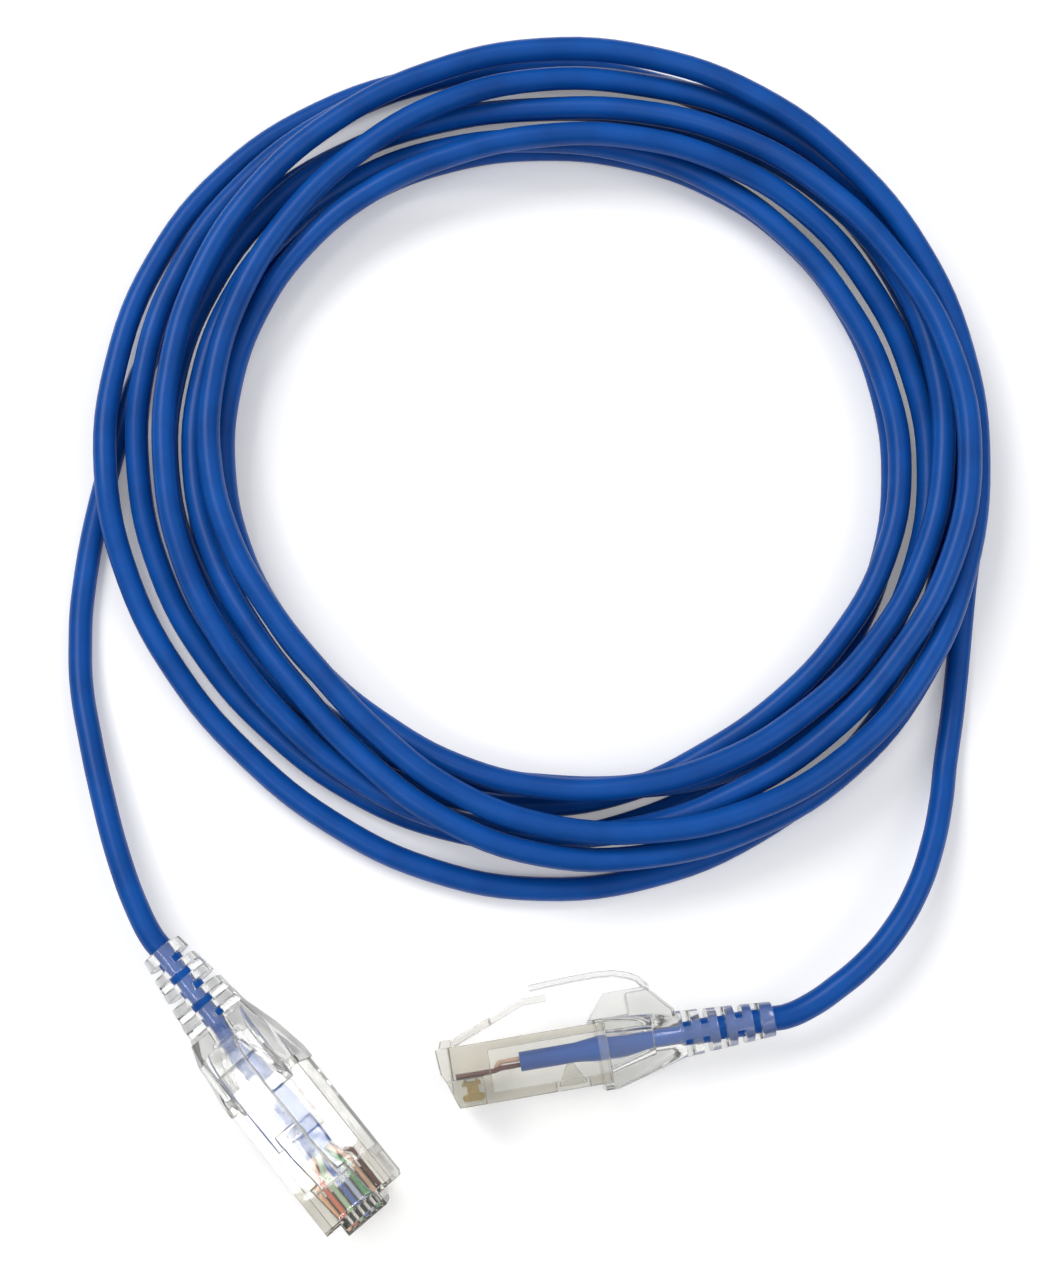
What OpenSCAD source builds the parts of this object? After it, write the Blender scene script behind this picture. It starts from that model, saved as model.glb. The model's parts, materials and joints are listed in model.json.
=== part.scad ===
// Ethernet patch cable: slim round cord in a loose coil, with a clear eight-way
// modular plug, a slotted boot and a covered latch on each end.
// Millimetres, +Z up. The cable lies on the floor at z = 0. The origin is on the
// floor under the middle of the pair of plugs.
// Plug frame: x from the nose to the cord, z from the contact face to the latch
// face, pin 1 on the +y side.

/* [Cord] */
// Outside diameter of the jacket
cord_od = 3.5; // [3.3:0.05:3.7]
// Clear space kept between neighbouring turns of the coil
turn_space = 0.92; // [0.9:0.02:1]
// Height of one layer of turns before they settle, in turn pitches
layer_lift = 0.45; // [0.4:0.01:0.5]

/* [Plug housing] */
// Length of the housing, nose to rear
plug_l = 23.6; // [22.8:0.1:24.4]
// Width across the eight contacts
plug_w = 11.68; // [11.4:0.04:11.88]
// Height from contact face to latch face
plug_h = 8.3; // [8.1:0.1:8.6]
// How far the contact edge of the nose is set back
nose_rake = 2.4; // [2.2:0.1:2.6]
// Width of the block that stands out in the middle of the nose
nose_w = 6.8; // [6.5:0.1:7.2]
// How far the full width of the nose is set back behind that block
nose_step = 1.8; // [1.4:0.1:1.8]
// Wall of the housing beside the cable cavity
side_wall = 1.3; // [1.0:0.1:1.6]
// Wall of the housing at the latch face
roof_wall = 1.1; // [0.8:0.1:1.3]
// Height of the floor of the cable cavity over the contact face
cavity_floor = 1.3; // [1.0:0.1:1.6]
// Height of the cord's axis over the contact face
axis_z = 4.85; // [4.6:0.05:5.0]

/* [Contacts] */
// Distance from one contact to the next
pin_pitch = 1.02; // [0.98:0.01:1.04]
// Thickness of a contact blade
blade_t = 0.35; // [0.3:0.01:0.4]
// Length of a contact blade along the plug
blade_l = 3.1; // [2.8:0.1:3.4]
// Distance from the nose to the blades
blade_x = 2.9; // [2.8:0.1:3.1]
// Depth of the blades below the contact face
blade_recess = 0.7; // [0.5:0.1:0.9]
// Clearance of a blade in its slot, each side
blade_clear = 0.08; // [0.05:0.01:0.12]

/* [Wires] */
// Diameter of an insulated wire
wire_od = 0.76; // [0.68:0.02:0.8]
// Height of the flat row of wires over the contact face
wire_z = 4.2; // [4.1:0.05:4.4]
// Distance from the nose to the cut ends of the wires
wire_x = 2.5; // [2.4:0.1:2.8]
// Distance from the nose to the cut end of the jacket
jacket_x = 11.4; // [11:0.1:12.4]
// Width of the jacket where the clamp squeezes it flat
squeezed_w = 4.4; // [4.1:0.1:4.7]
// Height of the jacket where the clamp squeezes it flat
squeezed_h = 2.7; // [2.5:0.1:2.9]

/* [Latch] */
// Distance from the nose to the root of the latch
latch_x = 2.9; // [2.6:0.1:3.2]
// Height of the raised latch over the latch face
latch_rise = 5.05; // [4.6:0.05:5.2]
// Distance from the nose to the knee of the latch
latch_knee_x = 13; // [12.4:0.1:13.4]
// Distance from the nose to the free end of the latch
latch_end_x = 16.4; // [15.6:0.1:17]
// Thickness of the latch
latch_t = 1.0; // [0.8:0.05:1.1]
// Width of the latch in front of its shoulders
latch_w = 6.0; // [5.6:0.1:6.4]
// Width of the finger end of the latch
latch_tail_w = 3.6; // [3.2:0.05:3.8]
// Distance from the nose to the shoulders that lock in the socket
shoulder_x = 8.1; // [7.8:0.1:8.6]

/* [Boot] */
// Length of plug and boot together
boot_end = 47.2; // [46.6:0.1:48.4]
// Width of the boot's collar
boot_w = 12.3; // [12.2:0.1:13]
// How far the collar stands proud of the contact face
boot_lip = 0.95; // [0.7:0.05:1.1]
// How far the collar stands proud of the latch face
boot_brow = 0.4; // [0.3:0.05:0.6]
// Length of housing that the collar holds
boot_grip = 1.2; // [0.9:0.1:1.4]
// Clearance between collar and housing, each side
boot_clear = 0.05; // [0.03:0.01:0.1]
// Clearance between the boot's bore and the cord
bore_clear = 0.05; // [0.03:0.01:0.1]
// Width of the boot half way along its taper
mid_w = 11.4; // [11:0.1:11.8]
// Width of the slotted tail at its thick end
tail_w = 9.3; // [8.9:0.1:9.7]
// Height of the slotted tail at its thick end
tail_h = 6.5; // [6.2:0.1:6.9]
// Width of the slotted tail at the cord
tip_w = 6.1; // [5.8:0.1:6.6]
// Height of the slotted tail at the cord
tip_h = 4.8; // [4.7:0.1:5.2]
// Distance from one slot to the next
slot_pitch = 2.45; // [2.35:0.05:2.5]
// Width of a slot
slot_w = 1.15; // [0.9:0.05:1.3]
// Width of the webs that join the ribs
web_w = 1.7; // [1.5:0.1:2]

/* [Hood] */
// Height of the hood over the latch face
hood_h = 3.8; // [3.6:0.1:4]
// Width over the hood's two cheeks
hood_w = 8.7; // [8.4:0.1:9]
// Thickness of a cheek
cheek_t = 1.0; // [0.8:0.1:1.2]

/* [Boot lever] */
// Thickness of the lever that presses the latch
lever_t = 0.9; // [0.7:0.05:0.95]
// Width of the lever
lever_w = 4.6; // [4.3:0.1:5]
// Height of the top of the lever's arch over the latch face
lever_rise = 7; // [6.8:0.05:7.2]
// Distance from the nose to the lever's free end
lever_tip_x = 14.2; // [13.8:0.1:14.8]

/* [Placement] */
// Turn of the left plug's axis from +X, nose to cord
heading_a = 130; // [126:0.5:134]
// Roll of the left plug from lying on its side, 90 being latch up
roll_a = 82; // [78:1:86]
// Turn of the right plug's axis from +X, nose to cord
heading_b = 9.5; // [5:0.5:13]

/* [Hidden] */
ENDS = ["a", "b"];
WIRES = ["white_orange", "orange", "white_green", "blue",
         "white_blue", "green", "white_brown", "brown"];
WIRE_COLOURS = ["#f0b98a", "#e8762c", "#b9d8b4", "#2f62c0",
                "#b9c8ea", "#3f9a54", "#d0ae92", "#7a4a2c"];

$fn = 48;
eps = 0.01;
pins = 8;
hinge_gap = 0.1;          // a moulded hinge stands this far off its neighbour
cord_r = cord_od / 2;
root_r = latch_t / 2;
collar_r = 0.8;           // rounding of the collar

// where the nose of each plug stands, on the cord's axis
nose_a = [-11.6, -17.75];
nose_b = [-2.7, 1.05];

// ---------------------------------------------------------------- helpers

function unit(v) = v / norm(v);
function total(rows) = [for (row = rows) 1] * rows;

// y of contact number pin, counted from 0
function pin_y(pin) = ((pins - 1) / 2 - pin) * pin_pitch;

// outline of a bent strip of even thickness along the points of a line
function strip_side(line, half) = [for (i = [0:len(line) - 1])
    let (before = line[max(i - 1, 0)], after = line[min(i + 1, len(line) - 1)],
         d = unit(after - before))
    line[i] + half * [-d[1], d[0]]];
function reversed(list) = [for (i = [len(list) - 1:-1:0]) list[i]];
function strip(line, t) = concat(strip_side(line, t / 2), reversed(strip_side(line, -t / 2)));

// a shape drawn in x and z, made w wide about y = 0
module across(w) {
    rotate([90, 0, 0]) linear_extrude(w, center = true) children();
}

// a skin over rings of equally many points, each ring turning right-handed about
// the way to the next
module skin(rings) {
    n = len(rings);
    sides = len(rings[0]);
    walls = [for (i = [0:n - 2], k = [0:sides - 1]) let (a = i * sides + k,
             b = i * sides + (k + 1) % sides) each [[a + sides, b, a], [a + sides, b + sides, b]]];
    caps = [for (k = [1:sides - 2]) each [[k, k + 1, 0],
        [(n - 1) * sides + k + 1, (n - 1) * sides + k, (n - 1) * sides]]];
    polyhedron([for (r = rings) each r], concat(walls, caps));
}

// a rounded cross-section at x: w wide, from z0 to z1, corners of radius r
corner_steps = 5;
function section(x, w, z0, z1, r) = [for (q = [0:3], s = [0:corner_steps])
    let (a = 90 * q + 90 * s / corner_steps, sy = q == 0 || q == 3 ? 1 : -1, sz = q < 2 ? 1 : -1)
    [x, sy * (w / 2 - r) + r * cos(a), (z0 + z1) / 2 + sz * ((z1 - z0) / 2 - r) + r * sin(a)]];

// ---------------------------------------------------------------- placement

// height of the cord's axis in a plug that lies on its collar, rolled up from its side
function rest_height(roll) = (boot_w / 2 - collar_r) * cos(roll)
    + (axis_z + boot_lip - collar_r) * sin(roll) + collar_r;
function heading(end) = end == "a" ? heading_a : heading_b;
function nose(end) = end == "a" ? nose_a : nose_b;
function roll(end) = end == "a" ? roll_a : 0;
function height(end) = rest_height(roll(end));
function along(end) = [cos(heading(end)), sin(heading(end)), 0];
function cord_exit(end) = concat(nose(end), [height(end)]) + boot_end * along(end);

module place(end) {
    translate(concat(nose(end), [height(end)])) rotate([0, 0, heading(end)])
        rotate([roll(end) - 90, 0, 0]) translate([0, 0, -axis_z]) children();
}

// ---------------------------------------------------------------- plug

wire_r = wire_od / 2;
channel_w = (pins - 1) * pin_pitch + wire_od + 0.2;
cavity_x = 7.2;           // the cable cavity starts here, behind the flat row
relief_x = 18.2;          // crest of the bar that holds the jacket
relief_l = 3.8;
window_l = 4.8;
window_w = 6.4;
nose_block_h = 1.1;

module plug_profile() {
    polygon([[nose_step, plug_h], [nose_step, plug_h * 0.18], [nose_rake, 0], [plug_l, 0],
             [plug_l, plug_h]]);
}

module nose_profile() {
    polygon([[0, plug_h], [nose_rake * 0.12, plug_h * 0.6], [nose_rake * 0.46, plug_h * 0.4],
             [nose_step, plug_h * 0.18], [nose_step + 0.3, plug_h * 0.18],
             [nose_step + 0.3, plug_h]]);
}

module plug_housing() {
    color("#eef3f2", 0.4) {
        difference() {
            union() {
                across(plug_w) plug_profile();
                across(nose_w) nose_profile();
                // raised block that the latch grows from
                across(latch_w) polygon([[0.5, plug_h - eps], [0.9, plug_h + nose_block_h],
                    [latch_x - root_r - hinge_gap, plug_h + nose_block_h],
                    [latch_x - root_r - hinge_gap, plug_h - eps]]);
            }
            // flat channel of the eight wires
            translate([wire_x - 0.1, -channel_w / 2, wire_z - wire_r - 0.05])
                cube([cavity_x, channel_w, wire_od + 0.1]);
            // cavity of the jacket, open at the rear
            translate([cavity_x, -plug_w / 2 + side_wall, cavity_floor])
                cube([plug_l, plug_w - 2 * side_wall, plug_h - roof_wall - cavity_floor]);
            // slots of the blades, open at the nose
            for (pin = [0:pins - 1])
                translate([-1, pin_y(pin) - blade_t / 2 - blade_clear, -1])
                    cube([blade_x + blade_l + blade_clear + 1, blade_t + 2 * blade_clear,
                          wire_z - wire_r + 1]);
            // window under the strain relief
            translate([relief_x - window_l / 2, -window_w / 2, -1])
                cube([window_l, window_w, cavity_floor + 2]);
        }
        relief_bar();
    }
}

// bar pressed against the jacket when the plug is crimped
module relief_bar() {
    crest = axis_z - squeezed_h / 2 - 0.05;
    across(window_w + 0.2)
        polygon([[relief_x - relief_l / 2, 0.7], [relief_x - 0.5, crest], [relief_x + 0.5, crest],
                 [relief_x + relief_l / 2, 0.7]]);
}

module contact_blades() {
    foot_r = 0.5;
    top = wire_z - wire_r - 0.02;
    rise = top - blade_recess;
    color("#c9a75c") for (pin = [0:pins - 1]) translate([blade_x, pin_y(pin), blade_recess])
        across(blade_t) union() {
            // rounded foot that meets the socket's spring
            for (x = [foot_r, blade_l - foot_r]) translate([x, foot_r]) circle(foot_r);
            translate([foot_r, 0]) square([blade_l - 2 * foot_r, 2 * foot_r]);
            translate([blade_l * 0.25, foot_r]) square([blade_l * 0.5, rise * 0.74 - foot_r]);
            // shoulder bar and the two prongs below the wire
            translate([0.15, rise * 0.68]) square([blade_l - 0.5, rise * 0.14]);
            for (x = [0.3, blade_l - 1.15])
                polygon([[x, rise * 0.8], [x + 0.25, rise], [x + 0.5, rise * 0.8]]);
        }
}

// the wires leave the flat row in two layers and close up at the jacket
split_x = 7.7;
split_l = 0.9;
gather_x = jacket_x - 0.5;
layer_z = 0.41;
bundle_pitch = 0.94;
function wire_line(pin) = let (up = pin % 2 == 0 ? layer_z : -layer_z,
        column = floor(pin / 2), y = (1.5 - column) * bundle_pitch)
    [[wire_x, pin_y(pin), wire_z], [split_x, pin_y(pin), wire_z],
     [split_x + split_l, pin_y(pin), axis_z + up], [gather_x, y, axis_z + up],
     [jacket_x, y, axis_z + up]];

module wire(pin) {
    color(WIRE_COLOURS[pin]) tube(wire_line(pin), wire_r, 6, 0);
}

// flat under the clamp, round again before the boot
module jacket_end() {
    color("#1f4fa8") skin([jacket_section(jacket_x, squeezed_w, squeezed_h),
        jacket_section(relief_x + 1, squeezed_w, squeezed_h),
        jacket_section(plug_l - 1, cord_od, cord_od), jacket_section(boot_end, cord_od, cord_od)]);
}
function jacket_section(x, w, h) = section(x, w, axis_z - h / 2, axis_z + h / 2, h / 2 - 0.02);

// ---------------------------------------------------------------- latch

latch_pivot = [latch_x, plug_h + root_r + hinge_gap];
latch_line = [latch_pivot, [latch_knee_x, plug_h + latch_rise - latch_t / 2],
              [latch_end_x, plug_h + latch_rise - latch_t / 2]];

module latch() {
    color("#eef3f2", 0.4) union() {
        translate([latch_pivot[0], 0, latch_pivot[1]]) rotate([90, 0, 0])
            cylinder(h = latch_w, r = root_r, center = true);
        intersection() {
            across(latch_w) polygon(strip(latch_line, latch_t));
            translate([0, -latch_w / 2, plug_h]) cube([shoulder_x, latch_w, latch_rise]);
        }
        across(latch_tail_w) polygon(strip(latch_line, latch_t));
    }
}

// ---------------------------------------------------------------- boot

boot_x = plug_l - boot_grip;
collar_l = 2.0;
taper_end = 34;
first_slot = taper_end + 0.4;
mid_floor = 0.3;          // height of the boot's underside half way along its taper
// where the webs of each row of slots stand, from the thick end
WEBS = ["all round", "sides", "faces", "sides", "faces"];

module boot() {
    color("#e9eef0", 0.45) difference() {
        union() {
            boot_body();
            hood();
        }
        // seat of the housing
        translate([boot_x - 1, -plug_w / 2 - boot_clear, -boot_clear])
            cube([boot_grip + 1 + boot_clear, plug_w + 2 * boot_clear, plug_h + 2 * boot_clear]);
        // cavity behind the housing
        skin([section(plug_l - 0.1, plug_w - 2 * side_wall, 1.2, plug_h - 1.2, 1),
              section(taper_end - 4, cord_od + 0.8, axis_z - cord_r - 0.4,
                      axis_z + cord_r + 0.4, 1.8)]);
        // bore of the cord
        translate([plug_l, 0, axis_z]) rotate([0, 90, 0])
            cylinder(h = boot_end, r = cord_r + bore_clear);
        for (row = [0:len(WEBS) - 1]) slot_row(first_slot + row * slot_pitch, WEBS[row]);
    }
}

module boot_body() {
    skin([section(boot_x, boot_w, -boot_lip, plug_h + boot_brow, collar_r),
          section(boot_x + collar_l, boot_w, -boot_lip, plug_h + boot_brow, collar_r),
          section((boot_x + collar_l + taper_end) / 2, mid_w, mid_floor, plug_h, 1.4),
          section(taper_end, tail_w, axis_z - tail_h / 2, axis_z + tail_h / 2, 2.2),
          section(boot_end, tip_w, axis_z - tip_h / 2, axis_z + tip_h / 2, 2.2)]);
}

// one row of the slots that let the tail bend
module slot_row(x, webs) {
    translate([x, 0, axis_z]) difference() {
        translate([0, -boot_w / 2, -boot_w / 2]) cube([slot_w, boot_w, boot_w]);
        if (webs != "faces") translate([-1, -boot_w, -web_w / 2])
            cube([slot_w + 2, 2 * boot_w, web_w]);
        if (webs != "sides") translate([-1, -web_w / 2, -boot_w])
            cube([slot_w + 2, web_w, 2 * boot_w]);
    }
}

hood_plate_x = 27.4;
hood_rear = 31;
hood_plate_z = plug_h + hood_h - 0.5;

module hood_profile() {
    foot = plug_h + 0.15;
    polygon([[boot_x - 1, foot], [boot_x - 0.2, foot], [boot_x, plug_h - 0.5],
             [taper_end - 0.4, axis_z + 1], [taper_end - 0.4, plug_h + 0.1],
             [hood_rear, plug_h + hood_h - 0.8], [hood_rear - 0.8, plug_h + hood_h],
             [boot_x + 1.8, plug_h + hood_h]]);
}

module hood() {
    difference() {
        across(hood_w) hood_profile();
        // the way of the latch between the cheeks, under the rear plate
        translate([boot_x - 2, -hood_w / 2 + cheek_t, plug_h + boot_brow])
            cube([hood_plate_x - boot_x + 2, hood_w - 2 * cheek_t, hood_h + 1]);
        translate([hood_plate_x - eps, -hood_w / 2 + cheek_t, hood_plate_z])
            cube([hood_rear, hood_w - 2 * cheek_t, hood_h + 1]);
    }
}

// ---------------------------------------------------------------- lever

lever_r = lever_t / 2;
lever_pivot = [hood_rear - 0.6, hood_plate_z + lever_r + hinge_gap];
lever_crest = plug_h + lever_rise - lever_r;
lever_line = [lever_pivot, [29.4, lever_crest - 1.5], [28, lever_crest - 0.75],
              [26.2, lever_crest - 0.2], [23.6, lever_crest], [20, lever_crest - 0.05],
              [16.5, lever_crest - 0.2], [lever_tip_x, lever_crest - 0.35]];

module boot_lever() {
    color("#e9eef0", 0.45) {
        across(lever_w) polygon(strip(lever_line, lever_t));
        translate([lever_pivot[0], 0, lever_pivot[1]]) rotate([90, 0, 0])
            cylinder(h = lever_w, r = lever_r, center = true);
    }
}

// ---------------------------------------------------------------- coil

// The coil runs clockwise as seen from above, from the left tail to the right
// one. Each row is one turn, read every 45 degrees from due left.
// radius of each turn round the middle of the coil
turn_radius = [
    [64, 61, 59, 63.5, 60, 53.5, 47.5, 44],
    [47.5, 52, 52.5, 57.5, 58.5, 54, 45.5, 48],
    [55, 57.5, 57, 61, 64, 58, 55, 51],
    [54, 60.5, 64.5, 65, 63.5, 61, 53, 43],
    [47.5, 53, 60.5, 65, 63.5, 63, 56.5, 46.5],
    [51, 55.5, 53.5, 55.5, 56, 50, 49.5, 50.5],
    [51.5, 53.5, 53.5, 55, 53, 51, 53.5, 53.5],
    [59.5, 65, 66, 64.5, 62, 62, 61.5, 59],
    [64.5, 69.5, 66.5, 66, 64.5]];
// which turn lies over which: the higher number is on top
turn_order = [
    [0, 1, 3, 4, 5, 5, 4, 2],
    [1, 1, 4, 3.5, 3, 4, 3, 2.5],
    [3, 3, 3.5, 6, 8, 6.5, 5, 5],
    [6, 7, 7.5, 7, 7, 7, 7, 7],
    [7.5, 8, 7, 5.5, 5.5, 5.5, 6.5, 5.5],
    [5, 4.5, 3, 2.5, 2, 2, 1.5, 1.5],
    [1, 1, 1, 1, 1, 1, 1.5, 3],
    [4, 4, 3, 2, 1.5, 1.5, 1, 1],
    [2, 2, 2, 1.5, 1]];
coil_centre = [11.4, 88.75];
lead_in = 83;             // radius 45 degrees before the first turn
lead_out = 73;            // radius 45 degrees after the last
rings_per_turn = 24;
rings_per_step = 3;
first_ring = 2;           // rings are counted from the lead-in
coil_steps = len([for (row = turn_radius, v = row) v]) + 1;
last_ring = (coil_steps - 1) * rings_per_step + 2;
ring_count = last_ring - first_ring + 1;
turn_pitch = cord_od + turn_space;
floor_z = cord_r * cos(30);               // axis of a six-sided turn lying flat
end_lift = cord_r * cos(22.5) - floor_z;  // the eight-sided tails lie this much higher

function joined(table, before, after) = concat([before], [for (row = table, v = row) v], [after]);
function ring_angle(i) = 225 + (first_ring + i) * 360 / rings_per_turn;

// smooth curve through the radii, straight steps through the order
function curve(v, i) = let (k = min(floor(i / rings_per_step), len(v) - 2),
        u = i / rings_per_step - k, a = v[max(k - 1, 0)], b = v[k], c = v[k + 1],
        d = v[min(k + 2, len(v) - 1)])
    b + u / 2 * (c - a + u * (2 * a - 5 * b + 4 * c - d + u * (3 * (b - c) + d - a)));
function steps(v, i) = let (k = min(floor(i / rings_per_step), len(v) - 2))
    v[k] + (v[k + 1] - v[k]) * (i / rings_per_step - k);

// The turns settle: each ring is pushed off the turns that it touches at its own
// angle, pulled back to its drawn radius, smoothed along the cord, and sinks. The
// cord's stiffness irons out what bends it off its drawn line, and some of that line.
function push(me, other, mine, theirs, my_r, their_r) =
    let (dr = me[0] - other[0], dz = me[1] - other[1], over = mine - theirs)
    abs(dr) >= turn_pitch ? [0, 0]
    : abs(my_r - their_r) < 0.3 * turn_pitch && abs(over) > 0.2
        ? [0, 0.5 * sign(over) * max(0, sqrt(turn_pitch * turn_pitch - dr * dr) - sign(over) * dz)]
    : let (d = max(norm([dr, dz]), eps)) d >= turn_pitch ? [0, 0]
        : (turn_pitch - d) / 2 / d * [dr, dz];

function settled(state, radii, order, left) = left == 0 ? state :
    let (quiet = left <= 24, pull = quiet ? 0 : 0.07, sink = quiet ? 0 : 0.05,
         stiff = left <= 3 ? 0 : 0.4, last = len(state) - 1)
    settled([for (i = [0:last]) i == 0 || i == last ? state[i] :
        let (me = state[i],
             shove = total([for (j = [i % rings_per_turn:rings_per_turn:last])
                 j == i ? [0, 0] : push(me, state[j], order[i], order[j], radii[i], radii[j])]),
             kept = 0.7 * (radii[i] - (radii[i - 1] + radii[i + 1]) / 2),
             next = me + shove + stiff * ((state[i - 1] + state[i + 1]) / 2 + [kept, 0] - me)
                 + [pull * (radii[i] - me[0]), -sink])
        [next[0], max(0, next[1])]], radii, order, left - 1);

function coil_route() = let (radii = joined(turn_radius, lead_in, lead_out),
        order = joined(turn_order, 0, 1),
        r0 = [for (i = [0:ring_count - 1]) curve(radii, first_ring + i)],
        k0 = [for (i = [0:ring_count - 1]) steps(order, first_ring + i)],
        start = [for (i = [0:ring_count - 1]) [r0[i],
            i == 0 || i == ring_count - 1 ? end_lift : turn_pitch * layer_lift * k0[i]]],
        done = settled(start, r0, k0, 120))
    [for (i = [0:ring_count - 1]) let (a = ring_angle(i), r = done[i][0])
        [coil_centre[0] + r * sin(a), coil_centre[1] + r * cos(a), floor_z + done[i][1]]];

// least clear space between turns, measured from points along the cord to the
// straight stretches of the other turns
function to_segment(p, a, b) = let (ab = b - a, u = max(0, min(1, (p - a) * ab / (ab * ab))))
    norm(p - a - u * ab);
function least_gap(route) = min([for (i = [0:len(route) - 2], u = [0, 0.33, 0.67],
        j = [i + rings_per_turn - 2:rings_per_turn:len(route) - 2], s = [0:4])
    if (j + s < len(route) - 1) to_segment(route[i] + u * (route[i + 1] - route[i]),
        route[j + s], route[j + s + 1])]) - cord_od;

// ---------------------------------------------------------------- sweep

// direction of a route at a point: the mean of the stretches that meet there
function heading_at(route, i) = unit((i > 0 ? unit(route[i] - route[i - 1]) : [0, 0, 0])
    + (i < len(route) - 1 ? unit(route[i + 1] - route[i]) : [0, 0, 0]));
function ring(p, d, r, sides, turn) = let (u = unit(cross([0, 0, 1], d)), v = cross(d, u))
    [for (k = [0:sides - 1]) let (a = turn + k * 360 / sides) p + r * (cos(a) * u + sin(a) * v)];

// a tube of flat sides along a route
module tube(route, r, sides, turn) {
    skin([for (i = [0:len(route) - 1]) ring(route[i], heading_at(route, i), r, sides, turn)]);
}

module cord_coil() {
    route = coil_route();
    echo(least_gap_of_coil = least_gap(route), length_of_coil =
        total([for (i = [1:len(route) - 1]) [norm(route[i] - route[i - 1])]])[0]);
    color("#1f4fa8") tube(route, cord_r, 6, 0);
}

// free stretches between the coil and the boots, laid point by point
tail_a_points = [[-56.6, 62.6, 2.2], [-55.8, 56.8, 2.8], [-54.1, 49.4, 3.7],
                 [-51.6, 40.4, 4.8], [-48.6, 31.2, 5.8], [-45.4, 23.7, 6.4]];
tail_b_points = [[70.4, 45.2, 2.4], [69.3, 39.6, 3.7], [67.5, 33.2, 5.1], [64.9, 26.9, 6.2],
                 [61.2, 21, 6.8], [57, 16.4, 6.9], [52.9, 13.1, 6.7], [49.5, 10.8, 6.3]];

coil_straight = 4.2;      // leaves the coil straight for this length
boot_straight = 2.1;      // enters the boot straight for this length

// leaves the coil and enters the boot straight, square to both; i is the end ring
// of the coil and way leads to its neighbour
function tail_route(coil, i, way, points, end) = let (out = unit(coil[i] - coil[i + way]))
    concat([coil[i], coil[i] + coil_straight * out], points,
           [cord_exit(end) + boot_straight * along(end), cord_exit(end)]);

module tail_a() {
    color("#1f4fa8") tube(tail_route(coil_route(), 0, 1, tail_a_points, "a"), cord_r, 8, 22.5);
}

module tail_b() {
    color("#1f4fa8") tube(tail_route(coil_route(), ring_count - 1, -1, tail_b_points, "b"), cord_r, 8, 22.5);
}

// ---------------------------------------------------------------- nodes

for (end = ENDS) place(end) {
    plug_housing();
    contact_blades();
    latch();
    boot();
    boot_lever();
    jacket_end();
    for (pin = [0:pins - 1])
        wire(pin);
}
tail_a();
cord_coil();
tail_b();
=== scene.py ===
"""Ethernet patch cable: a slim round cord in a loose coil, with a clear plug, a slotted
boot and a covered latch on each end. The scene is in metres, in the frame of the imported
model. The cord's and the pieces' lengths are in millimetres, and MM turns them to metres."""

import json
import math

import bpy
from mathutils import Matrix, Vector

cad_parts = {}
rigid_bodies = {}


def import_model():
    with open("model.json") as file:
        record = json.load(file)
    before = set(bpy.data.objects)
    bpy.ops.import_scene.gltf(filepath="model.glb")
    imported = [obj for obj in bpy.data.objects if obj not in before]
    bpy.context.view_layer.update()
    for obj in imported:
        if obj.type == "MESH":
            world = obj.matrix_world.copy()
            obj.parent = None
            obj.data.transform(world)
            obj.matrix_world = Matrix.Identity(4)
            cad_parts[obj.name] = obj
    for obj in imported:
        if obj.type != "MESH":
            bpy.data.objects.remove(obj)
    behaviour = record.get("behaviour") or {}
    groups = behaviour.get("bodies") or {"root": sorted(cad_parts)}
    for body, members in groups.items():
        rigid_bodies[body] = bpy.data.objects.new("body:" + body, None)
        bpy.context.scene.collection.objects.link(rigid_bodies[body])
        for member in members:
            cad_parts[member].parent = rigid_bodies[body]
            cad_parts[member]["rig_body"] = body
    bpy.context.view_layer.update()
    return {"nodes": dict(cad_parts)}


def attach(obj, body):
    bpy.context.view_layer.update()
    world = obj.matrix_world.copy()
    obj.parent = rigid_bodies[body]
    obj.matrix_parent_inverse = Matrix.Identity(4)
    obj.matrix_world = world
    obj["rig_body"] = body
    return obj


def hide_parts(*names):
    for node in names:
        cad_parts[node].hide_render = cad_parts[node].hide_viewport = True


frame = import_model()
nodes = frame["nodes"]
scene = bpy.context.scene
MM = 0.001


# ------------------------------------------------------------------ camera

def place_camera():
    """Looks down on the cable from 0.3 m, tipped 12 degrees from straight down."""
    bpy.ops.object.camera_add(location=(9.8 * MM, 2.48 * MM, 291.1 * MM),
                              rotation=(math.radians(12), 0, 0))
    camera = bpy.context.object
    camera.name = "camera"
    camera.data.lens = 56.25
    camera.data.sensor_width = 36
    camera.data.clip_start = 0.01
    scene.camera = camera


place_camera()


# ------------------------------------------------------------------ nodes of a material

def linear(hex_colour):
    """sRGB hex to the linear colour that Blender mixes in."""
    parts = [int(hex_colour[i:i + 2], 16) / 255 for i in (1, 3, 5)]
    return [p / 12.92 if p <= 0.04045 else ((p + 0.055) / 1.055) ** 2.4 for p in parts] + [1]


def add(tree, kind, settings=None, links=None, **inputs):
    """One node, with its settings, its inputs and the links that feed it. A link goes by
    the name or the number of its input."""
    node = tree.nodes.new(kind)
    for name, value in (settings or {}).items():
        setattr(node, name, value)
    for name, value in inputs.items():
        node.inputs[name.replace("_", " ")].default_value = value
    for name, source in (links or {}).items():
        tree.links.new(source, node.inputs[name])
    return node


def new_material(name):
    """A material, its tree, the place on the object to pattern it by, and its output."""
    material = bpy.data.materials.new(name)
    material.use_nodes = True
    tree = material.node_tree
    tree.nodes.clear()
    place = add(tree, "ShaderNodeTexCoord").outputs["Object"]
    return material, tree, place, add(tree, "ShaderNodeOutputMaterial")


def noise(tree, place, scale, detail=2.0):
    return add(tree, "ShaderNodeTexNoise", links={"Vector": place},
               Scale=scale, Detail=detail).outputs["Fac"]


def relief(tree, height, strength, depth):
    return add(tree, "ShaderNodeBump", links={"Height": height},
               Strength=strength, Distance=depth).outputs["Normal"]


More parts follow.
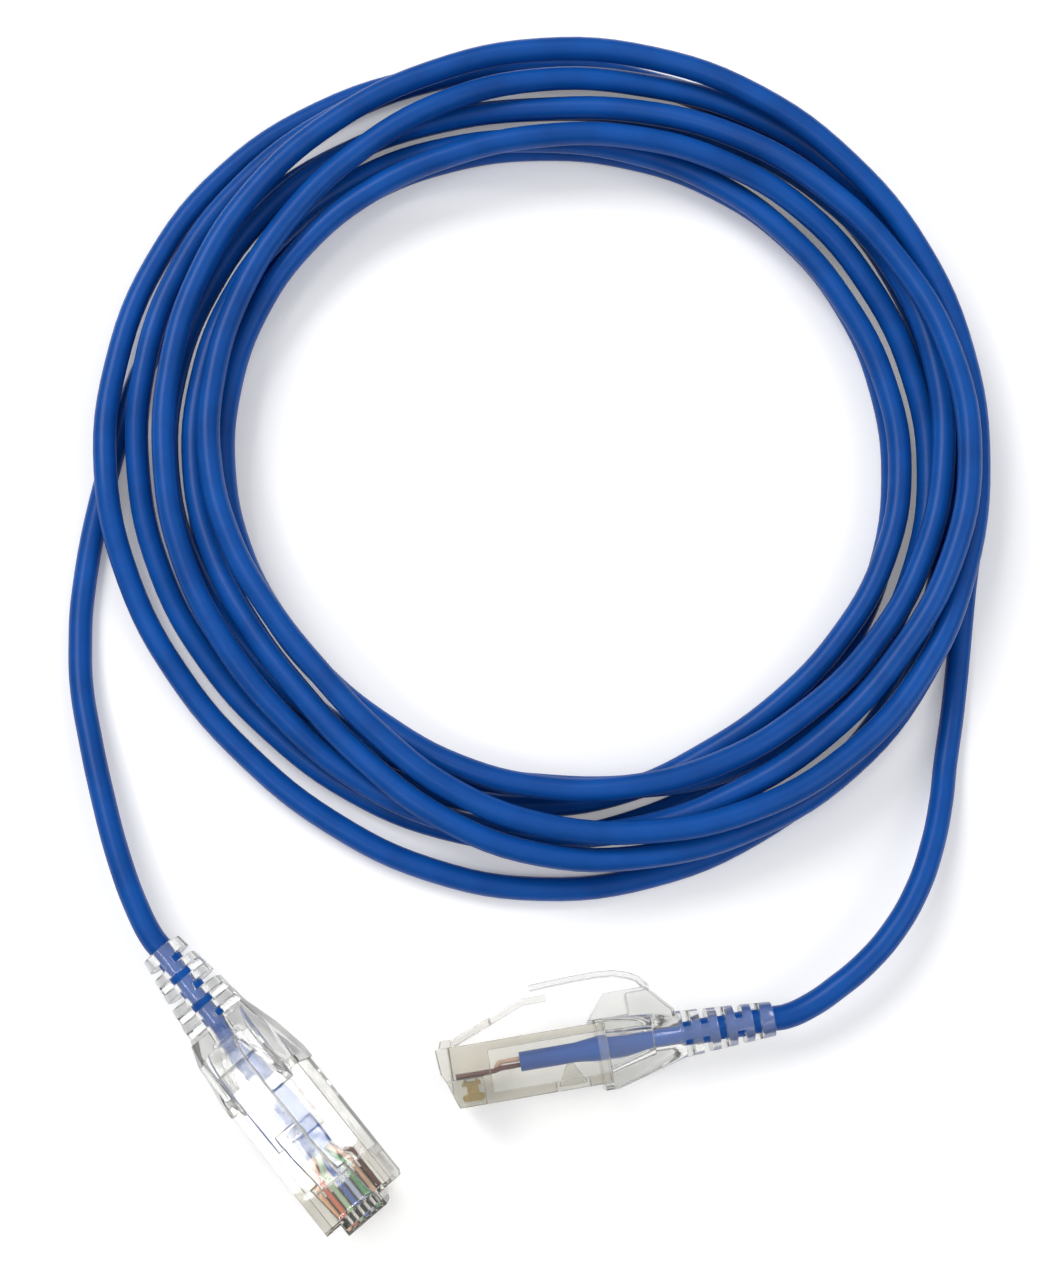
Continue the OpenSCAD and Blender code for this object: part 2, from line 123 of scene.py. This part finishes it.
def ramp(tree, source, low, high, start=0.0, end=1.0):
    """Colour that goes from low to high while the source goes from start to end."""
    shade = add(tree, "ShaderNodeValToRGB", links={"Fac": source})
    first, last = shade.color_ramp.elements
    first.color, last.color = linear(low), linear(high)
    first.position, last.position = start, end
    return shade.outputs["Color"]


def spread(tree, source, low, high, start=0.0, end=1.0):
    """Number that goes from low to high while the source goes from start to end."""
    return add(tree, "ShaderNodeMapRange", links={"Value": source}, From_Min=start,
               From_Max=end, To_Min=low, To_Max=high).outputs["Result"]


def combine(tree, operation, first, second, clamp=False):
    return add(tree, "ShaderNodeMath", {"operation": operation, "use_clamp": clamp},
               {0: first, 1: second}).outputs["Value"]


# ------------------------------------------------------------------ materials

def jacket_pvc():
    """Flexible PVC, extruded: glossy, with a faint cloud in its blue and a fine grain."""
    material, tree, place, out = new_material("blue extruded PVC")
    blue = ramp(tree, noise(tree, place, 120.0, 3.0), "#0a4591", "#0e53a8", 0.3, 0.7)
    grain = relief(tree, noise(tree, place, 900.0), 0.06, 0.0003)
    skin = add(tree, "ShaderNodeBsdfPrincipled", links={"Base Color": blue, "Normal": grain},
               Roughness=0.33, IOR=1.53, Specular_IOR_Level=0.15)
    tree.links.new(skin.outputs["BSDF"], out.inputs["Surface"])
    return material


def clear_plastic(name, face, edge, shadow, dye, haze, roughness, ior, wave, depth):
    """Moulded clear plastic: it bends what is behind it, lets lamplight through, and has
    the faint waviness of its mould. Its tint goes from face, seen straight, to edge, seen
    along it; the edge tint is painted shade for the dark edges of the clear pieces. shadow
    is what a face leaves of lamplight, dye what a thickness leaves, and haze the share of
    light that it scatters."""
    material, tree, place, out = new_material(name)
    mould = relief(tree, noise(tree, place, wave), 0.3, depth)
    # painted shade: the tint turns grey where a face is seen along it, for dark edge lines
    painted_edge_mask = add(tree, "ShaderNodeLayerWeight", Blend=0.3).outputs["Facing"]
    shell = add(tree, "ShaderNodeBsdfPrincipled",
                links={"Normal": mould, "Base Color": ramp(tree, painted_edge_mask, face, edge, 0.35)},
                Roughness=roughness, IOR=ior, Transmission_Weight=1.0)
    milk = add(tree, "ShaderNodeBsdfPrincipled", links={"Normal": mould},
               Roughness=0.3, IOR=ior, Base_Color=linear("#e9e8e6"))
    body = add(tree, "ShaderNodeMixShader",
               links={1: shell.outputs["BSDF"], 2: milk.outputs["BSDF"]}, Fac=haze)
    film = add(tree, "ShaderNodeBsdfTransparent", Color=linear(shadow))
    path = add(tree, "ShaderNodeLightPath").outputs
    lit = add(tree, "ShaderNodeMixShader",
              links={"Fac": path["Is Shadow Ray"], 1: body.outputs["Shader"],
                     2: film.outputs["BSDF"]})
    tree.links.new(lit.outputs["Shader"], out.inputs["Surface"])
    bulk = add(tree, "ShaderNodeVolumeAbsorption", Color=linear(dye), Density=200.0)
    tree.links.new(bulk.outputs["Volume"], out.inputs["Volume"])
    return material


def gold_plate():
    """Gold flashed over stamped phosphor bronze: smooth, with fine drawing lines."""
    material, tree, place, out = new_material("gold-plated phosphor bronze")
    drawn = add(tree, "ShaderNodeMapping", links={"Vector": place}, Scale=(1, 1, 8))
    rough = spread(tree, noise(tree, drawn.outputs["Vector"], 900.0), 0.18, 0.34)
    skin = add(tree, "ShaderNodeBsdfPrincipled", links={"Roughness": rough},
               Base_Color=linear("#a8925e"), Metallic=1.0)
    tree.links.new(skin.outputs["BSDF"], out.inputs["Surface"])
    return material


def wire_insulation(name, colour):
    """Extruded polyethylene on a single wire: satin, evenly coloured."""
    material, tree, place, out = new_material(name)
    rough = spread(tree, noise(tree, place, 400.0), 0.34, 0.46)
    skin = add(tree, "ShaderNodeBsdfPrincipled", links={"Roughness": rough},
               Base_Color=linear(colour), IOR=1.5)
    tree.links.new(skin.outputs["BSDF"], out.inputs["Surface"])
    return material


def dress(piece, material):
    piece.data.materials.clear()
    piece.data.materials.append(material)


pvc = jacket_pvc()
gold = gold_plate()
# the edge colours are painted shade, grey where a face of the clear plastic is seen edge-on
polycarbonate = clear_plastic(
    "clear polycarbonate", face="#fdfdfc", edge="#9c9c98", shadow="#eeeeec", dye="#efede8",
    haze=0.01, roughness=0.03, ior=1.585, wave=140.0, depth=0.0002)
soft_clear = clear_plastic(
    "clear soft PVC", face="#fafaf9", edge="#9c9c9a", shadow="#eeeeed", dye="#f4f4f3",
    haze=0.04, roughness=0.08, ior=1.53, wave=220.0, depth=0.0003)
WIRE_COLOURS = {"white_orange": "#f0b98a", "orange": "#e0662a", "white_green": "#b9d8b4",
                "blue": "#2f62c0", "white_blue": "#b9c8ea", "green": "#3f9a54",
                "white_brown": "#c9a58e", "brown": "#5a2f22"}
insulation = {wire: wire_insulation(wire.replace("_", " ") + " polyethylene", colour)
              for wire, colour in WIRE_COLOURS.items()}


# ------------------------------------------------------------------ route of the cord

CORD_OD = 3.5
TURN_SPACE = 0.92        # kept clear between turns
PITCH = CORD_OD + TURN_SPACE
LAYER_LIFT = 0.45        # height of a layer before it settles, in pitches
# radius of each turn, and its layer in the bundle, every 45 degrees
TURN_RADIUS = [
    [64, 61, 59, 63.5, 60, 53.5, 47.5, 44],
    [47.5, 52, 52.5, 57.5, 58.5, 54, 45.5, 48],
    [55, 57.5, 57, 61, 64, 58, 55, 51],
    [54, 60.5, 64.5, 65, 63.5, 61, 53, 43],
    [47.5, 53, 60.5, 65, 63.5, 63, 56.5, 46.5],
    [51, 55.5, 53.5, 55.5, 56, 50, 49.5, 50.5],
    [51.5, 53.5, 53.5, 55, 53, 51, 53.5, 53.5],
    [59.5, 65, 66, 64.5, 62, 62, 61.5, 59],
    [64.5, 69.5, 66.5, 66, 64.5]]
TURN_ORDER = [
    [0, 1, 3, 4, 5, 5, 4, 2],
    [1, 1, 4, 3.5, 3, 4, 3, 2.5],
    [3, 3, 3.5, 6, 8, 6.5, 5, 5],
    [6, 7, 7.5, 7, 7, 7, 7, 7],
    [7.5, 8, 7, 5.5, 5.5, 5.5, 6.5, 5.5],
    [5, 4.5, 3, 2.5, 2, 2, 1.5, 1.5],
    [1, 1, 1, 1, 1, 1, 1.5, 3],
    [4, 4, 3, 2, 1.5, 1.5, 1, 1],
    [2, 2, 2, 1.5, 1]]
LEAD_IN, LEAD_OUT = 84.4, 73    # radius one step before the first turn and after the last
COIL_CENTRE = (11.4, 88.75)
COIL_START = 225         # direction of the lead-in, in degrees from +Y towards +X
RINGS_PER_TURN, RINGS_PER_STEP, FIRST_RING = 24, 3, 2
RINGS_LEFT_OUT = 3       # at the end, where TAIL_B takes over
# the coil settles in rounds: in the last of them nothing pulls a ring to its drawn place
# or sinks it, and in the very last nothing straightens it either
ROUNDS, QUIET_ROUNDS, LIMP_ROUNDS = 120, 24, 3
PULL, SINK, STIFFNESS = 0.07, 0.05, 0.4
BEND_KEPT = 0.7          # share of its drawn bend that a ring keeps
CROSSING = 0.3           # turns drawn closer than this, in pitches, lie over each other
CLEARLY_OVER = 0.2       # when they are more than this apart in layers
LEAST_APART = 0.01       # rings on one spot count as this far apart
# half the angle of a flat on the solids: six-sided turns, eight-sided free stretches
TURN_FLAT, STRETCH_FLAT = 30, 22.5

TAIL_A = [(-56.4, 62.6, 2.2), (-55.8, 56.8, 2.8), (-54.1, 49.4, 3.7), (-51.6, 40.4, 4.8),
          (-48.6, 31.2, 5.8), (-45.4, 23.7, 6.4)]
TAIL_B = [(77.2, 88.8, 1.8), (74.6, 71.9, 1.8), (72, 53.5, 1.8), (70.4, 45.2, 2.4),
          (69.3, 39.6, 3.7), (67.5, 33.2, 5.1), (64.9, 26.9, 6.2), (61.2, 21, 6.8),
          (57, 16.4, 6.9), (52.9, 13.1, 6.7), (49.5, 10.8, 6.3)]
# where each plug's nose stands, and which way its cord leaves, in degrees from +X
PLUGS = {"a": ((-11.6, -17.75, 6.496), 130), "b": ((-2.7, 1.05, 6.15), 9.5)}
BOOT_END = 47.2          # from the nose to where the cord leaves the boot
BOOT_STRAIGHT = 2.1      # of the cord, behind the boot


def along(end):
    """Unit vector from a plug's nose towards its cord."""
    turn = math.radians(PLUGS[end][1])
    return Vector((math.cos(turn), math.sin(turn), 0))


def cord_exit(end):
    return Vector(PLUGS[end][0]) + BOOT_END * along(end)


def smooth(values, i):
    """Radius at ring i, on a smooth curve through the stations."""
    k = min(i // RINGS_PER_STEP, len(values) - 2)
    u = i / RINGS_PER_STEP - k
    a, b, c, d = (values[max(k - 1, 0)], values[k], values[k + 1],
                  values[min(k + 2, len(values) - 1)])
    return b + u / 2 * (c - a + u * (2 * a - 5 * b + 4 * c - d + u * (3 * (b - c) + d - a)))


def stepped(values, i):
    """Layer at ring i, on straight lines through the stations."""
    k = min(i // RINGS_PER_STEP, len(values) - 2)
    return values[k] + (values[k + 1] - values[k]) * (i / RINGS_PER_STEP - k)


def pushed(i, state, drawn, rank):
    """How far the turns beside ring i push it outwards and upwards."""
    r, z = state[i]
    push_r = push_z = 0
    for j in range(i % RINGS_PER_TURN, len(state), RINGS_PER_TURN):
        dr, dz, over = r - state[j][0], z - state[j][1], rank[i] - rank[j]
        if j == i or abs(dr) >= PITCH:
            continue
        if abs(drawn[i] - drawn[j]) < CROSSING * PITCH and abs(over) > CLEARLY_OVER:
            side = 1 if over > 0 else -1
            push_z += side * max(0, math.sqrt(PITCH * PITCH - dr * dr) - side * dz) / 2
            continue
        apart = max(math.hypot(dr, dz), LEAST_APART)
        if apart < PITCH:
            push_r += (PITCH - apart) / 2 / apart * dr
            push_z += (PITCH - apart) / 2 / apart * dz
    return push_r, push_z


def settled(state, drawn, rank):
    """Radius and height of the rings after the rounds. The two end rings stay put."""
    for left in range(ROUNDS, 0, -1):
        pull, sink = (0, 0) if left <= QUIET_ROUNDS else (PULL, SINK)
        stiff = 0 if left <= LIMP_ROUNDS else STIFFNESS
        moved = list(state)
        for i in range(1, len(state) - 1):
            r, z = state[i]
            push_r, push_z = pushed(i, state, drawn, rank)
            kept = BEND_KEPT * (drawn[i] - (drawn[i - 1] + drawn[i + 1]) / 2)
            mean_r = (state[i - 1][0] + state[i + 1][0]) / 2
            mean_z = (state[i - 1][1] + state[i + 1][1]) / 2
            moved[i] = (r + push_r + stiff * (mean_r + kept - r) + pull * (drawn[i] - r),
                        max(0, z + push_z + stiff * (mean_z - z) - sink))
        state = moved
    return state


def coil_route():
    """Turns of the coil, settled over and beside each other."""
    radii = [LEAD_IN] + [v for row in TURN_RADIUS for v in row] + [LEAD_OUT]
    order = [0] + [v for row in TURN_ORDER for v in row] + [1]
    rings = range(FIRST_RING, (len(radii) - 1) * RINGS_PER_STEP)
    half = CORD_OD / 2
    floor = half * math.cos(math.radians(TURN_FLAT))
    end_lift = half * math.cos(math.radians(STRETCH_FLAT)) - floor
    drawn = [smooth(radii, ring) for ring in rings]
    rank = [stepped(order, ring) for ring in rings]
    state = [(r, PITCH * LAYER_LIFT * layer) for r, layer in zip(drawn, rank)]
    state[0], state[-1] = (drawn[0], end_lift), (drawn[-1], end_lift)
    route = []
    for ring, (r, z) in zip(rings, settled(state, drawn, rank)):
        turn = math.radians(COIL_START + ring * 360 / RINGS_PER_TURN)
        route.append(Vector((COIL_CENTRE[0] + r * math.sin(turn),
                             COIL_CENTRE[1] + r * math.cos(turn), floor + z)))
    return route


def cord_route():
    """The whole cord from the left boot, round the coil, to the right boot. One smooth
    line joins the turns to the free stretches, without the short straight ends that the
    solids have at the coil. The end of the last turn runs further in than its solid, and
    is drawn with the right stretch."""
    route = [cord_exit("a"), cord_exit("a") + BOOT_STRAIGHT * along("a")]
    route += [Vector(p) for p in reversed(TAIL_A)]
    route += coil_route()[:-RINGS_LEFT_OUT]
    route += [Vector(p) for p in TAIL_B]
    route += [cord_exit("b") + BOOT_STRAIGHT * along("b"), cord_exit("b")]
    return [Vector((p.x, p.y, max(p.z, CORD_OD / 2))) for p in route]


# ------------------------------------------------------------------ cord

def lay_cord():
    """One round jacket swept along one smooth line."""
    route = cord_route()
    data = bpy.data.curves.new("cord", "CURVE")
    data.dimensions = "3D"
    data.bevel_depth = 1    # times each point's radius
    data.bevel_resolution = 5
    data.resolution_u = 6
    data.use_fill_caps = True
    spline = data.splines.new("BEZIER")
    spline.bezier_points.add(len(route) - 1)
    for point, place in zip(spline.bezier_points, route):
        point.co = place * MM
        point.radius = CORD_OD / 2 * MM
        point.handle_left_type = point.handle_right_type = "AUTO"
    cord = bpy.data.objects.new("cord", data)
    scene.collection.objects.link(cord)
    return cord


cord = lay_cord()
dress(cord, pvc)
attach(cord, "cable")
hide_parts("tail_a", "cord_coil", "tail_b")


# ------------------------------------------------------------------ plugs and boots

WELD = 0.002             # points closer than this are one
FLAT_WITHIN = 0.5        # degrees between faces that are one flat


def finished(node_name, name, edge, angle=30, shortest=0.01):
    """A closed copy of a solid, with its sharp edges rounded by edge and its curved faces
    smooth. Edges under the shortest length close up first. The copy stands for the solid
    and moves with the same body."""
    node = nodes[node_name]
    piece = bpy.data.objects.new(name, node.data.copy())
    scene.collection.objects.link(piece)
    bpy.ops.object.select_all(action="DESELECT")
    bpy.context.view_layer.objects.active = piece
    piece.select_set(True)
    bpy.ops.object.mode_set(mode="EDIT")
    bpy.ops.mesh.select_all(action="SELECT")
    bpy.ops.mesh.remove_doubles(threshold=WELD * MM)
    bpy.ops.mesh.dissolve_limited(angle_limit=math.radians(FLAT_WITHIN))
    bpy.ops.mesh.select_all(action="SELECT")
    bpy.ops.mesh.dissolve_degenerate(threshold=shortest * MM)
    bpy.ops.object.mode_set(mode="OBJECT")
    if edge:
        rounding = piece.modifiers.new("rounded edges", "BEVEL")
        rounding.width = edge * MM
        rounding.segments = 3
        rounding.use_clamp_overlap = False
        rounding.limit_method = "ANGLE"
        rounding.angle_limit = math.radians(angle)
        bpy.ops.object.modifier_apply(modifier=rounding.name)
    bpy.ops.object.shade_smooth_by_angle(angle=math.radians(angle))
    # flat faces shade flat beside their rounded edges
    shading = piece.modifiers.new("even shading", "WEIGHTED_NORMAL")
    shading.keep_sharp = True
    bpy.ops.object.modifier_apply(modifier=shading.name)
    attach(piece, node["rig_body"])
    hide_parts(node_name)
    return piece


# solid, name of its copy, slot, material and finish, with lengths in mm
PIECES = [
    ("plug_housing", "housing", "clear_housing", polycarbonate,
     {"edge": 0.12, "shortest": 0.2}),
    ("latch", "locking_latch", "clear_housing", polycarbonate, {"edge": 0.2}),
    ("boot", "slotted_boot", "clear_boot", soft_clear, {"edge": 0.1, "shortest": 0.12}),
    ("boot_lever", "lever", "clear_boot", soft_clear, {"edge": 0.25}),
    ("contact_blades", "blades", "gold_contacts", gold, {"edge": 0.04}),
    ("jacket_end", "jacket_in_plug", "jacket", pvc, {"edge": 0.12, "angle": 50})]
PIECES += [("wire_" + wire, wire + "_wire", "wire_" + wire, insulation[wire],
            {"edge": 0, "angle": 70}) for wire in WIRE_COLOURS]
for end in PLUGS:
    for solid, name, slot, material, finish in PIECES:
        piece = finished(solid + "_" + end, name + "_" + end, **finish)
        dress(piece, material)


# ------------------------------------------------------------------ studio

BACKGROUND_LIFT = 0.2    # lifts the card to white where it is seen, shadows stay


def lay_floor():
    """White card. Far out it goes grey for all light except what the camera sees straight,
    so that the clear pieces have dark to bend."""
    bpy.ops.mesh.primitive_plane_add(size=6, location=(0, 0, -0.1 * MM))
    floor = bpy.context.object
    floor.name = "floor"
    material, tree, place, out = new_material("white card")
    path = add(tree, "ShaderNodeLightPath").outputs
    far = add(tree, "ShaderNodeVectorMath", {"operation": "LENGTH"}, {"Vector": place})
    fall = spread(tree, far.outputs["Value"], 0.0, 1.0, 0.3, 1.2)
    unseen = combine(tree, "SUBTRACT", fall, path["Is Camera Ray"], clamp=True)
    card = add(tree, "ShaderNodeBsdfDiffuse",
               links={"Color": ramp(tree, unseen, "#f7f7f8", "#85878c")}, Roughness=0.5)
    seen = combine(tree, "MAXIMUM", path["Is Camera Ray"], path["Is Glossy Ray"])
    seen = combine(tree, "MAXIMUM", seen, path["Is Transmission Ray"])
    glow = add(tree, "ShaderNodeEmission",
               links={"Strength": spread(tree, seen, 0.0, BACKGROUND_LIFT)})
    both = add(tree, "ShaderNodeAddShader",
               links={0: card.outputs["BSDF"], 1: glow.outputs["Emission"]})
    tree.links.new(both.outputs["Shader"], out.inputs["Surface"])
    dress(floor, material)


def hang_lamp(name, place, target, size, power):
    """Round lamp, turned towards its target."""
    bpy.ops.object.light_add(type="AREA", location=place)
    lamp = bpy.context.object
    lamp.name = name
    lamp.data.shape = "DISK"
    lamp.data.size = size
    lamp.data.energy = power
    way = Vector(target) - Vector(place)
    lamp.rotation_euler = way.to_track_quat("-Z", "Y").to_euler()


def hang_sky():
    """White overhead and grey at the horizon, which draws the edges of the clear pieces.
    Seen straight, it has one pale shade all round."""
    world = bpy.data.worlds.new("studio")
    world.use_nodes = True
    tree = world.node_tree
    way = add(tree, "ShaderNodeTexCoord").outputs["Generated"]
    height = add(tree, "ShaderNodeSeparateXYZ", links={"Vector": way}).outputs["Z"]
    path = add(tree, "ShaderNodeLightPath").outputs
    height = combine(tree, "ADD", height, path["Is Camera Ray"], clamp=True)
    sky = tree.nodes["Background"]
    sky.inputs["Strength"].default_value = 0.7
    tree.links.new(ramp(tree, height, "#4a4c50", "#ffffff", 0.15, 0.75), sky.inputs["Color"])
    scene.world = world


lay_floor()
hang_lamp("key", (-0.35, 0.45, 0.7), (0, 0.06, 0), size=0.4, power=3.2)
hang_lamp("fill", (0.55, -0.1, 0.6), (0, 0.06, 0), size=0.5, power=1.0)
hang_lamp("window", (-0.23, -0.1, 0.556), (-0.02, -0.01, 0), size=0.11, power=0.3)
hang_sky()
# the light passes many faces of clear plastic between the blades
scene.cycles.max_bounces = 32
scene.cycles.transmission_bounces = 32
scene.view_settings.view_transform = "Standard"


# ------------------------------------------------------------------ sizes

def write_sizes():
    """Brings the swept cord up to date in the scene."""
    cord.update_tag()
    bpy.context.view_layer.update()


write_sizes()
